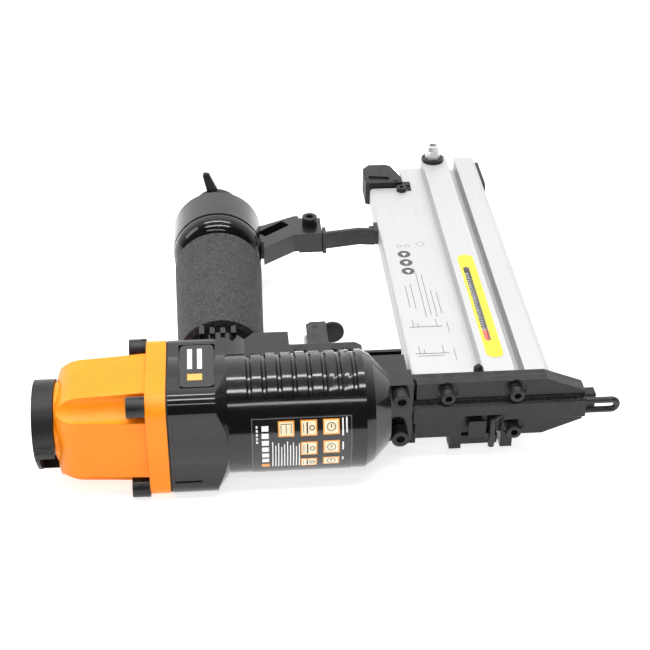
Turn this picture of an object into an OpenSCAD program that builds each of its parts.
// Pneumatic nail gun: narrow fastener driver with a side magazine and a handle end arm.
// Millimetres. +X is the driving direction, +Y points along the handle, +Z is up.
// The origin is on the driver axis in the plane of the nose's end face.

/* [Housing] */
// Outer radius of the round barrel
barrel_r = 28.3; // [24:0.1:32]
// Half width of the square flange and of the cap's flange
flange_h = 28.5; // [25:0.1:33]
// Corner radius of the flange
flange_r = 9.5; // [6:0.5:12]
// Width of each gripping groove in the barrel
groove_w = 2.2; // [1:0.1:3]
// Distance from groove to groove
groove_pitch = 7.05; // [5:0.05:9]

/* [Cap] */
// Half width of the cap beside its flange
cap_h0 = 25.8; // [22:0.1:28]
// Half width of the cap at the start of its dome
cap_h1 = 23.9; // [20:0.1:26]
// Distance of each cap screw from the driver axis, in Y and in Z
cap_screw_at = 23.25; // [20:0.05:25]
// Radius of the screw channels in the cap's corners
channel_r = 7.8; // [6:0.5:10]
// Outer radius of the exhaust deflector
deflector_r = 20; // [15:0.5:24]

/* [Drive] */
// Bore radius of the cylinder sleeve
bore_r = 18.05; // [14:0.05:20]
// Width of the driver blade
blade_w = 6; // [4:0.1:8]
// Thickness of the driver blade
blade_t = 1.2; // [0.8:0.1:2]

/* [Handle] */
// X position of the handle's axis
handle_x = -179.5; // [-190:0.5:-170]
// Grip radius near the body
grip_r0 = 21.6; // [18:0.1:25]
// Grip radius near the handle's end
grip_r1 = 23.7; // [18:0.1:26]
// Radius of the handle end cap
end_cap_r = 24.8; // [22:0.1:27]
// Tapping radius of the air inlet thread
inlet_r = 5.72; // [5:0.01:8]

/* [Nose] */
// Half width of the nose plates
plate_h = 16; // [12:0.5:20]
// Half width of the raised nose cover
cover_h = 5.3; // [4:0.1:8]
// Diameter of the safety wire
wire_d = 3.2; // [2:0.1:4]

/* [Magazine] */
// Half thickness of the wide flat band
band_h = 6.5; // [4:0.1:9]
// Half thickness of the raised rail
rail_h = 14.5; // [12:0.1:18]
// Half thickness of the sliding part
slide_h = 13; // [10:0.1:16]
// Length of the magazine behind the nose
mag_end = 231.5; // [180:0.5:260]

/* [Hidden] */
$fn = 64;
clear = 0.05;
ep_y = 178.5;
cap_dx = 1.7;
groove_depth = 1;
groove_slope = 0.9;
groove_over = 1.7;
flange_x = -204.6;
rail_screw_x = -69;
rail_screw_y = 203.5;
trig_x = -121.7;
trig_y = 36;
stem_y = 45.5;
window_x = -47.4;
rod_z = 8.4;
spring_y0 = 45.2;
spring_y1 = 215.9;
plug_y = 216;
bolt_x = -47.5;
bolt_y = 226;
strap_y = 166;
screw_spots = [[-73.4, 10.9], [-40.4, 10.9], [-40.4, -10.9]];
black = [0.10, 0.10, 0.11];
steel = [0.62, 0.63, 0.65];
alu = [0.86, 0.87, 0.88];
orange = [0.95, 0.50, 0.06];

module box(x0, x1, y0, y1, z0, z1) { translate([x0, y0, z0]) cube([x1 - x0, y1 - y0, z1 - z0]); }
module xc(x0, x1, r, y = 0, z = 0) { translate([x0, y, z]) rotate([0, 90, 0]) cylinder(h = x1 - x0, r = r); }
module xcone(x0, x1, r0, r1) {
    translate([x0, 0, 0]) rotate([0, 90, 0]) cylinder(h = x1 - x0, r1 = r0, r2 = r1);
}
module yc(y0, y1, r, x = 0, z = 0) { translate([x, y0, z]) rotate([-90, 0, 0]) cylinder(h = y1 - y0, r = r); }
module ycone(y0, y1, r0, r1, x) {
    translate([x, y0, 0]) rotate([-90, 0, 0]) cylinder(h = y1 - y0, r1 = r0, r2 = r1);
}
module zc(z0, z1, r, x, y) { translate([x, y, z0]) cylinder(h = z1 - z0, r = r); }
module rrect(w, h, r) {
    square([w - 2 * r, h], center = true);
    square([w, h - 2 * r], center = true);
    for (i = [-1, 1], j = [-1, 1]) translate([i * (w / 2 - r), j * (h / 2 - r)]) circle(r);
}
module xext(x0, x1) { translate([x0, 0, 0]) rotate([90, 0, 90]) linear_extrude(x1 - x0) children(); }
module yext(y0, y1) { translate([0, y0, 0]) rotate([-90, 0, 0]) linear_extrude(y1 - y0) children(); }
module zext(z0, z1) { translate([0, 0, z0]) linear_extrude(z1 - z0) children(); }
module rsq(x0, x1, h, r) { xext(x0, x1) rrect(2 * h, 2 * h, r); }
module hexa(af) { polygon([for (i = [0:5]) [af / sqrt(3) * cos(60 * i), af / sqrt(3) * sin(60 * i)]]); }
module corners() {
    for (i = [-1, 1], j = [-1, 1]) translate([0, i * cap_screw_at, j * cap_screw_at]) children();
}
// Socket head screw: head on +Z, seat at z = 0, shank below; a neck narrows the head's lower part
module socket_screw(d, head_r, head_l, shank_l, washer_r, washer_t, neck = 0) {
    translate([0, 0, washer_t]) difference() {
        if (neck > 0) union() {
            cylinder(h = head_l, r = head_r - neck);
            translate([0, 0, head_l * 0.3]) cylinder(h = head_l * 0.7 - 0.35, r = head_r);
            translate([0, 0, head_l - 0.35]) cylinder(h = 0.35, r1 = head_r, r2 = head_r - 0.35);
        } else cylinder(h = head_l, r = head_r);
        translate([0, 0, head_l * 0.45]) linear_extrude(head_l) hexa(d * 0.8);
    }
    difference() {
        cylinder(h = washer_t, r = washer_r);
        translate([0, -0.35, -1]) cube([washer_r + 1, 0.7, washer_t + 2]);
    }
    translate([0, 0, -shank_l]) cylinder(h = shank_l + washer_t, r = d / 2);
}
// Coil drawn as a row of rings along +Z from 0 to len, joined by one thin side strip
module coil(len, r, wire, n) {
    for (i = [0:n - 1]) translate([0, 0, i * (len - wire) / (n - 1)]) difference() {
        cylinder(h = wire, r = r);
        translate([0, 0, -1]) cylinder(h = wire + 2, r = r - wire);
    }
    translate([r - wire, -wire / 4, 0]) cube([wire / 2, wire / 2, len]);
}

module body_housing() { color(black) difference() {
    union() {
        rsq(flange_x, -183, flange_h, flange_r);
        intersection() {
            rsq(-183.5, -177.5, flange_h, flange_r);
            xcone(-183.5, -177.5, 36.5, barrel_r);
        }
        difference() {
            xc(-184, -113.5, barrel_r);
            for (i = [0:7]) intersection() {
                groove(-168.6 + i * groove_pitch);
                union() {
                    box(-172, -110, -18.9, 31, 8, 31);
                    box(-172, -110, -18.9, 31, -31, -8);
                }
            }
        }
        xcone(-113.5, -109, barrel_r, 25.6);
        xcone(-109, -101, 25.6, 17.5);
        // upper nose block and safety guide
        box(-106.5, -91, 6.4, 20.6, -15.6, 15.6);
        box(-109, -90.5, 31.5, 33.5, -10, 10);
        box(-111, -109, 17, 33.5, 4, 10);
        box(-111, -109, 15, 33.5, -13, -4);
        // handle root, core and flare
        yc(12, 150, 18, handle_x);
        for (i = [0:3]) box(handle_x - 10.5 + 5.2 * i, handle_x - 8 + 5.2 * i, 40, 47.6, 10, 19.4);
        intersection() {
            translate([handle_x, 149, 0]) rotate([-90, 0, 0]) rotate_extrude() translate([13.7, 0]) circle(11);
            yc(138.5, 149, 26, handle_x);
        }
        yc(146, 150, 24.4, handle_x);
        // trigger valve block and trigger lugs
        box(-178, -146, 18, 47, -14, 14);
        box(-157.4, -146, 46, 53, -9, 9);
        for (s = [-1, 1]) translate([0, 0, s * 9.2]) zext(-1, 1) union() {
            polygon([[-150.3, 22], [-109.8, 22], [-109.8, 38], [-112.8, 41], [-150.3, 41]]);
        }
    }
    // flange pocket and side panel
    box(-199.6, -182.4, -17.5, 17.5, flange_h - 1.6, 40);
    box(-203.2, -190.5, -40, -flange_h + 0.7, -18, 18);
    // cylinder bore, sleeve seat, blade slot
    xc(-207, -118, 24.5);
    xc(-119, -112, 20.6);
    box(-113, -90, -0.9, 0.9, -3.3, 3.3);
    // air passage of the handle
    yc(15, 151, 14, handle_x);
    yc(142, 151, 20, handle_x);
    xc(-157, -145, 6.05, stem_y, 0);
    xc(-164, -156, 3, stem_y, 0);
    corners() xc(-207, -188, 2.55);
    for (s = [-1, 1]) yc(6, 15, 2.55, -95.7, s * 11);
    for (x = [-140.6, trig_x, -114.9]) zc(-11, 11, 2.05, x, trig_y);
} }

// Ring cutter for one gripping groove with sloping sides, starting at x
module groove(x) {
    translate([x, 0, 0]) rotate([0, 90, 0]) rotate_extrude() polygon([
        [barrel_r - groove_depth, groove_slope],
        [barrel_r - groove_depth, groove_slope + groove_w - 1.2],
        [barrel_r + groove_over, 2 * groove_slope + groove_w - 1.2 + groove_over * groove_slope],
        [barrel_r + groove_over, -groove_over * groove_slope]]);
}

module cylinder_cap() { color(orange) at_cap() difference() {
    union() {
        rsq(-216.6, -207.1, flange_h, flange_r);
        intersection() {
            zext(-30, 30) cap_side();
            rotate([90, 0, 0]) zext(-30, 30) cap_side();
            rsq(-260, -215, cap_h0, 9);
            union() {
                xc(-250, -215, 37);
                xcone(-259.5, -250, 23.5, 32);
            }
        }
        xc(-259.5, -250, 18.5);
    }
    corners() xc(-262, -216.6, channel_r);
    corners() xc(-217, -206, 2.6);
    xc(-213, -207, 22);
    xc(-236, -212, 12.05);
    xc(-247, -235, 14);
    for (a = [45:90:315]) rotate([a, 0, 0]) xc(-261, -246, 3.2, 9.5, 0);
    xc(-261, -250, 2.55);
} }
module cap_side() {
    difference() {
        polygon([[-215, -cap_h0], [-215, cap_h0], [-247, cap_h1],
            [-259.5, cap_h1], [-259.5, -cap_h1], [-247, -cap_h1]]);
        for (s = [-1, 1]) difference() {
            translate([-260.5, s * (cap_h1 - 5.5) - 6.5]) square([13.5, 13]);
            translate([-247, s * (cap_h1 - 12.5)]) circle(12.5);
        }
    }
}
module cap_gasket() { color([0.2, 0.2, 0.2]) at_cap() difference() {
    rsq(-207.1, -206.3, flange_h - 0.4, flange_r);
    xc(-208, -205, 24.5);
    corners() xc(-208, -205, 2.6);
} }
module cap_screws() { color(black) at_cap() corners() translate([-216.6, 0, 0]) rotate([0, -90, 0])
    socket_screw(5, 4.9, 6.2, 26, 5, 2.2); }
module at_cap() { translate([cap_dx, 0, 0]) children(); }
module exhaust_deflector() { color(black) at_cap() difference() {
    union() {
        xc(-269.5, -259.7, deflector_r);
        intersection() {
            xc(-268.5, -259.7, deflector_r + 2.4);
            rotate([38, 0, 0]) box(-270, -259, -30, 0, -12, 12);
        }
    }
    xc(-267, -259, deflector_r - 3);
    intersection() {
        xc(-267, -259, 30);
        rotate([38, 0, 0]) box(-267, -259, -30, 0, -9, 9);
    }
    xc(-270, -266, 2.55);
    xc(-270, -267.9, 5.8);
} }
module deflector_hub() { color(black) at_cap() difference() {
    xc(-267, -259.7, 6);
    xc(-268, -259, 2.55);
} }
module deflector_screw() { color(steel) at_cap() union() {
    xc(-268, -250.5, 2.5);
    difference() {
        xc(-269.4, -267.92, 5.2);
        xext(-270, -268.8) hexa(3);
    }
} }
module muffler_pad() { color([0.45, 0.45, 0.42]) at_cap() difference() {
    xc(-263, -259.5, 16);
    xc(-264, -259, 6.6);
} }

module cylinder_sleeve() { color(alu) difference() {
    xc(-196, -112.1, 20.5);
    xc(-197, -111, bore_r);
    for (a = [0:60:300]) rotate([a, 0, 0]) zc(15, 25, 1.6, -130, 0);
} }
module sleeve_o_rings() { color(black) for (x = [-193, -123]) difference() {
    xc(x, x + 3, 24.4);
    xc(x - 1, x + 4, 20.52);
} }
module bumper() { color([0.55, 0.2, 0.1]) difference() { xc(-126.4, -112.2, 17.7); xc(-127, -111, 5); } }
module piston() { color(alu) difference() {
    union() {
        xc(-187, -177, bore_r - clear);
        xc(-177, -170, 4.4);
    }
    difference() {
        xc(-183.6, -180.6, 19);
        xc(-184, -180, 16);
    }
    box(-176, -168, -0.65, 0.65, -3.05, 3.05);
    xc(-188, -184.5, 11);
} }
module piston_o_ring() { color(black) difference() {
    xc(-183.5, -180.7, bore_r - clear);
    xc(-184, -180, 16.02);
} }
module driver_blade() { color(steel) box(-175.9, -48, -blade_t / 2, blade_t / 2, -blade_w / 2, blade_w / 2); }
module head_valve() { color([0.85, 0.85, 0.8]) difference() {
    union() {
        xc(-202, -196.1, 19.5);
        xc(-228, -201, 12);
    }
    xc(-229, -195, 6);
} }
module head_valve_spring() { color(steel) translate([-211.2, 0, 0]) rotate([0, 90, 0]) coil(9.1, 16, 1.6, 4); }

module trigger_valve_body() { color([0.75, 0.65, 0.35]) at_stem() difference() {
    xc(-157, -144.5, 6);
    xc(-150, -144, 2.05);
    xc(-156, -149.9, 4.6);
} }
module valve_stem() { color(steel) at_stem() union() {
    xc(-151.6, -137.6, 2);
    xc(-151.6, -150.2, 4.2);
} }
module valve_spring() { color(steel) at_stem() translate([-155.9, 0, 0]) rotate([0, 90, 0])
    coil(4.2, 3.6, 0.5, 3); }
module at_stem() { translate([0, stem_y, 0]) children(); }

module trigger() { color(black) difference() {
    union() {
        for (s = [-1, 1]) translate([0, 0, s * 6.95]) zext(-0.75, 0.75) union() {
            polygon([[-125.6, 64.3], [-133.6, 64.3], [-136, 62], [-136, 45],
                [-125.5, 34.5], [-118.2, 37.5], [-125.6, 46]]);
            translate([trig_x, trig_y]) circle(4);
        }
        zc(-6.5, 6.5, 3.6, trig_x, trig_y);
        box(-127.4, -126, 41, 66.4, -6.4, 6.4);
        yc(64.8, 66.3, 6.1, -122, 0);
    }
    zc(-9, 9, 2.05, trig_x, trig_y);
    zc(-9, 9, 1.25, -131.6, 58.9);
} }
module trigger_lever() { color(steel) difference() {
    union() {
        box(-137.2, -135.7, 40, 58, -3.5, 3.5);
        for (s = [-1, 1]) translate([0, 0, s * 3]) zext(-0.5, 0.5)
            polygon([[-137.2, 46], [-137.2, 58], [-132, 61.5], [-129.2, 59], [-129.5, 56.5], [-135.7, 46]]);
    }
    zc(-9, 9, 1.25, -131.6, 58.9);
} }
module lever_pin() { color(steel) zc(-7.6, 7.6, 1.2, -131.6, 58.9); }
module trigger_pins() { color(black) for (x = [-140.6, trig_x, -114.9]) union() {
    zc(-10.9, 10.9, 2, x, trig_y);
    zc(10.22, 11.2, 2.9, x, trig_y);
} }

module nose_outline(x0, xe) {
    polygon([[x0, -plate_h], [-25.4, -plate_h], [xe, -8.4], [xe, 8.4], [-25.4, plate_h], [x0, plate_h]]);
}
module nose_block() { color(black) difference() {
    box(-101, -89.5, -6, 6.4, -16.5, 16.5);
    box(-102, -89, -0.9, 0.9, -3.3, 3.3);
    for (s = [-1, 1]) yc(-7, 7, 2.55, -95.7, s * 11);
} }
module cover_holes() { for (p = screw_spots) yc(-9, 6, 2.05, p[0], p[1]); }
module nose_plate() { color(black) difference() {
    union() {
        yext(-5.4, -0.7) nose_outline(-87.9, -6.4);
        for (x = [-70.8, -45.7]) box(x, x + 5.8, -5.4, -0.7, -23.5, -15);
    }
    cover_holes();
    for (p = screw_spots) yc(-5.5, -4.6, 5.2, p[0], p[1]);
    box(-66, -5, -6, -4.2, -4.7, 4.7);
    box(-65.2, -45.7, -6, -2.6, -17, -3);
    box(-72, -64, -4, -0.6, -22.5, -16.9);
} }
module driver_guide() { color([0.25, 0.25, 0.27]) difference() {
    union() {
        yext(-0.7, 3.1) nose_outline(-89.5, -6.4);
        for (x = [-70.8, -45.7]) box(x, x + 5.8, -0.7, 3.1, -23.5, -15);
        box(-6.4, 0, -2.6, 3.1, -3.9, 3.9);
        box(-8, -6, -0.7, 3.1, -3.9, 3.9);
    }
    cover_holes();
    box(-90, 1, -0.7, 0.7, -3.1, 3.1);
    box(-52, -19, 0, 4, -3.1, 3.1);
} }
module nose_cover() { color(black) difference() {
    union() {
        // chamfered bar over a thin foot
        xext(-89.3, -6) polygon([[-5.4, -cover_h], [-8, -cover_h], [-8.6, 0.6 - cover_h],
            [-8.6, cover_h - 0.8], [-7.8, cover_h], [-5.4, cover_h]]);
        box(-89.3, -8, -6.2, -5.4, 4, cover_h + 1.3);
    }
    box(-66, -5, -7.95, -5, -4.7, 4.7);
    box(-65.2, -43.4, -7.95, -5, -6, 0);
    box(-65.2, -45.5, -9, -7, -6, -1.5);
    for (p = screw_spots) yc(-9, 6, 5.8, p[0], p[1]);
} }
module cover_screws() { color(black) for (p = screw_spots)
    translate([p[0], -4.6, p[1]]) rotate([90, 0, 0]) socket_screw(4, 3.5, 4.8, 7.6, 3.5, 1.7, 0.7); }
module flange_screws() { color(black) for (s = [-1, 1])
    translate([-95.7, -6, s * 11]) rotate([90, 0, 0]) socket_screw(5, 4.25, 5, 20, 4.4, 1.3); }

module safety_wire() { color(steel) union() {
    translate([6.85, -6.1, 0]) rotate([90, 0, 0]) rotate([0, 0, -90]) rotate_extrude(angle = 180)
        translate([2.75, 0]) circle(wire_d / 2);
    xc(-22, 6.85, wire_d / 2, -6.1, 2.75);
    xc(-45, 6.85, wire_d / 2, -6.1, -2.75);
    translate([-45, -6.1, -2.75]) sphere(wire_d / 2 + 0.06);
    translate([-45, -6.1, -2.75]) rotate([0, -122, 0]) cylinder(h = 6.2, r = wire_d / 2);
    translate([-50.258, -6.1, -6.035]) sphere(wire_d / 2 + 0.06);
    zc(-21.9, -6.03, wire_d / 2, -50.258, -6.1);
} }
module safety_linkage() { color(black) union() {
    box(-127, -92, 28.8, 30.8, -3, 3);
    box(-96, -92, 28.8, 30.8, -26, 3);
    box(-96, -84, 28.8, 30.8, -14, -7.6);
    box(-85.5, -84, 23, 30.8, -13, -7.6);
    box(-96, -92, 3.6, 30.8, -26, -24);
    box(-96, -86, 3.6, 5.6, -26, -24);
    box(-90, -86, 3.6, 5.6, -26, -16.8);
    box(-88, -40, 3.6, 5.6, -18.6, -16.8);
    box(-53.6, -47, -4.6, 5.6, -19.6, -16.8);
    box(-69, -47, -3.7, -1, -22.2, -17.2);
    box(-62, -53.6, -7.6, -6.2, -15.2, -5.8);
    box(-54.4, -52, -7.2, -3, -17.4, -13.8);
} }
module safety_spring() { color(steel) translate([-108.8, 26, -10.2]) rotate([0, 90, 0])
    coil(23.1, 2.2, 0.6, 12); }

module magazine_rail() { color(alu) difference() {
    yext(3.1, mag_end) difference() {
        union() {
            translate([-70.5, 0]) rrect(34, 2 * band_h, 2);
            translate([-60, -band_h]) square([8, 2 * band_h]);
            translate([-54, -rail_h]) square([15, 2 * rail_h]);
        }
        translate([-85.3, -4.3]) square([29.3, 8.6]);
        translate([-51.6, -12]) square([13, 24]);
    }
    box(-95, -67, 207, 240, -20, 20);
    box(-49, -45.8, 32.2, 99.4, 11, 20);
    for (y = [32.2, 99.4]) zc(11, 20, 1.6, window_x, y);
    zc(-20, 20, 2.55, bolt_x, bolt_y);
    zc(0, 20, 2.05, rail_screw_x, rail_screw_y);
    xc(-90, -84, 2.05, strap_y, 0);
} }
module rear_plug() { color(black) difference() {
    union() {
        box(-51.4, -44.9, plug_y, 230, -11.8, 11.8);
        for (side = [0, 1]) mirror([0, 0, side]) {
            zc(11.7, 14.6, 2.54, bolt_x, bolt_y);
            zc(rail_h, 16.4, 6.6, bolt_x, bolt_y);
        }
    }
    zc(-20, 20, 2.3, bolt_x, bolt_y);
    yc(plug_y - 1, 220.5, 1.6, window_x, rod_z);
} }
module rear_bolt() { color(steel) union() {
    zc(-16.4, 23.6, 2.25, bolt_x, bolt_y);
    zc(-20.4, -16.4, 4.25, bolt_x, bolt_y);
} }
module rear_nut() { color(steel) difference() {
    union() {
        translate([bolt_x, bolt_y, 16.4]) linear_extrude(4.6) hexa(8);
        zc(20.8, 24.6, 3.5, bolt_x, bolt_y);
    }
    zc(16, 25, 2.27, bolt_x, bolt_y);
} }
module magazine_slide() { color(alu)
    yext(3.6, 231) difference() {
        union() {
            translate([-27.25, 0]) rrect(12.9, 2 * slide_h, 3.5);
            translate([-33.7, -slide_h]) square([4, 2 * slide_h]);
            translate([-40, -5]) square([8, 10]);
            translate([-44.5, -11.6]) square([5.5, 23.2]);
        }
        translate([-46, -3.2]) square([24, 6.4]);
        translate([-46, -9.6]) square([5, 19.2]);
        for (s = [-1, 1]) translate([-27.4, s * 8]) rrect(9, 6, 1.5);
    }
}
module slide_end_cap() { color(black) difference() {
    union() {
        yext(231, 233) translate([-27.3, 0]) rrect(11, 2 * slide_h - 2.4, 3);
        xext(-20.8, -18.8) translate([217, 0]) rrect(32, 20, 4);
        box(-23, -19, 231, 233, -6, 6);
    }
    for (i = [0:4]) box(-19.4, -18, 206 + 4 * i, 207.6 + 4 * i, -7, 7);
} }
module pusher() { color([0.8, 0.1, 0.08]) difference() {
    union() {
        box(-51.2, -41.4, 5, 45, -9.2, 9.2);
        box(-49.2, -45.6, 8, 45, 9, 11.4);
        box(-42, -24, 5, 20, -2.7, 2.7);
    }
    yc(4, 46, 1.55, window_x, rod_z);
} }
module pusher_rod() { color(steel) yc(12, 220.5, 1.5, window_x, rod_z); }
module pusher_spring() { color(steel) translate([window_x, spring_y0, rod_z]) rotate([-90, 0, 0])
    coil(spring_y1 - spring_y0, 3.1, 0.8, 42); }

module latch() { color(black) difference() {
    union() {
        zext(-4.5, 10) polygon([[-90, 209], [-87.9, 207.6], [-68, 207.6], [-68, 214],
            [-73, 229], [-76, 231], [-86, 231], [-90, 226]]);
        zext(10, 11) polygon([[-87.5, 215], [-75.5, 213], [-74.5, 219], [-78, 228.5], [-85.5, 228.5]]);
    }
    zc(-20, 20, 1.55, -71.5, 210.8);
    for (i = [0:2]) box(-91, -89.4, 212 + 4 * i, 214 + 4 * i, -12, 12);
} }
module latch_pin() { color(steel) zc(-4.7, 10.4, 1.5, -71.5, 210.8); }
module rail_screw() { color(black) union() {
    difference() {
        zc(band_h, band_h + 2.6, 3, rail_screw_x, rail_screw_y);
        translate([rail_screw_x, rail_screw_y, band_h + 1.2]) linear_extrude(3) hexa(2.5);
    }
    zc(4.4, band_h, 2, rail_screw_x, rail_screw_y);
} }
module rail_catch() { color(black) union() {
    box(-67.4, -63.2, 207, 211.5, band_h, band_h + 1.6);
    box(-65.6, -63.2, 203, 207, band_h, band_h + 0.8);
} }
module front_catch() { color(black) union() {
    zc(band_h, 16.5, 1.9, -56.6, 6.5);
    for (i = [0:3]) zc(8.2 + 2.1 * i, 9.6 + 2.1 * i, 2.35, -56.6, 6.5);
    translate([-56.6, 6.5, 16.5]) cylinder(h = 1, r1 = 1.9, r2 = 1);
} }

module grip_sleeve() { color([0.16, 0.16, 0.17]) difference() {
    ycone(48, 131, grip_r0, grip_r1, handle_x);
    yc(47, 132, 18.03, handle_x);
} }
module end_cap_seal() { color([0.2, 0.2, 0.2]) difference() {
    yc(150, 151, 23.6, handle_x);
    yc(149, 152, 14, handle_x);
} }
module handle_end_cap() { color([0.14, 0.14, 0.15]) difference() {
    union() {
        yc(151, 175.5, end_cap_r, handle_x);
        ycone(175.5, ep_y, end_cap_r, 22.6, handle_x);
        yc(178, 186, 12.5, handle_x);
        zext(-6, 5) polygon([[-158, 151.2], [-153.8, 151.2], [-153.8, 144.4], [-136, 158], [-120, 159],
            [-120, 179], [-135, 180], [-153, 170.5], [-162, 168]]);
    }
    yc(150, 172, 18, handle_x);
    yc(171, 187, 9.03, handle_x);
    translate([-152.6, 157.4, -3]) rotate([0, 0, 40]) cube([19, 6.4, 12]);
    zc(3.6, 6, 6, -126.3, 171);
    box(-132.3, -120.3, 171, 181, 3.6, 6);
    zc(-7, 6, 2.55, -126.3, 171);
} }
module arm_screw() { color(black) translate([-126.3, 171, 3.6]) socket_screw(5, 4.25, 4.6, 12.5, 4.4, 1.2); }
module magazine_strap() { color([0.22, 0.22, 0.23]) difference() {
    union() {
        zext(-5, 5) polygon([[-119.6, 160.5], [-119.6, 158], [-98.5, 161.8], [-89.6, 160.7],
            [-89.6, 162.7], [-98.7, 164]]);
        box(-89.6, -87.5, 160.4, 170, -4.5, 4.5);
        box(-133, -118, 160, 178.5, -8, -6.1);
        box(-119.6, -117.6, 158.2, 166.5, -8, 4.6);
    }
    zc(-10, 0, 2.55, -126.3, 171);
    xc(-95, -80, 2.55, strap_y, 0);
    xc(-92.6, -89.6, 4.35, strap_y, 0);
} }
module strap_screw() { color(black) union() {
    difference() {
        xc(-92.2, -89.6, 4, strap_y, 0);
        translate([0, strap_y, 0]) xext(-93, -91) hexa(2.6);
    }
    xc(-90, -85.6, 2, strap_y, 0);
} }
module air_inlet() { color([0.7, 0.7, 0.7]) difference() {
    union() {
        yc(172, 186, 9, handle_x);
        yc(186, 196, 13.4, handle_x);
    }
    yc(171, 197, inlet_r, handle_x);
    yc(193, 197, 7.6, handle_x);
} }
module dust_plug() { color(black) union() {
    yc(196.2, 199.6, 14, handle_x);
    yc(193.3, 196.3, 7.2, handle_x);
    translate([handle_x, 199.4, 0]) mirror([0, 0, 1]) rotate([-8, 0, 0]) yext(0, 2.4)
        polygon([[-3.4, 4], [4, 4], [1.6, 13], [-3.4, 25.4], [-6.4, 26], [-7.2, 24.6], [-5, 13]]);
} }
module badge_plate() { color([0.08, 0.08, 0.09])
    zext(flange_h - 1.6, flange_h + 0.1) translate([-191, 0]) rrect(15.6, 33.6, 2.5); }
module body_label() { color([0.05, 0.05, 0.05]) intersection() {
    difference() {
        xc(-167.3, -120.3, barrel_r + 0.2);
        xc(-168, -119, barrel_r);
    }
    box(-170, -110, -40, 0, -21, 14.7);
} }
module window_sticker() { color([0.95, 0.82, 0.1]) zext(rail_h, rail_h + 0.2) difference() {
    translate([-46.2, 65]) rrect(8.5, 97.3, 4.2);
    translate([window_x, 65.8]) rrect(3.2, 70.4, 1.59);
} }

body_housing();
cylinder_cap();
cap_gasket();
cap_screws();
exhaust_deflector();
deflector_hub();
deflector_screw();
muffler_pad();
cylinder_sleeve();
sleeve_o_rings();
bumper();
piston();
piston_o_ring();
driver_blade();
head_valve();
head_valve_spring();
trigger_valve_body();
valve_stem();
valve_spring();
trigger();
trigger_lever();
lever_pin();
trigger_pins();
nose_block();
nose_plate();
driver_guide();
nose_cover();
cover_screws();
flange_screws();
safety_wire();
safety_linkage();
safety_spring();
magazine_rail();
rear_plug();
rear_bolt();
rear_nut();
magazine_slide();
slide_end_cap();
pusher();
pusher_rod();
pusher_spring();
latch();
latch_pin();
rail_screw();
rail_catch();
front_catch();
grip_sleeve();
end_cap_seal();
handle_end_cap();
arm_screw();
magazine_strap();
strap_screw();
air_inlet();
dust_plug();
badge_plate();
body_label();
window_sticker();
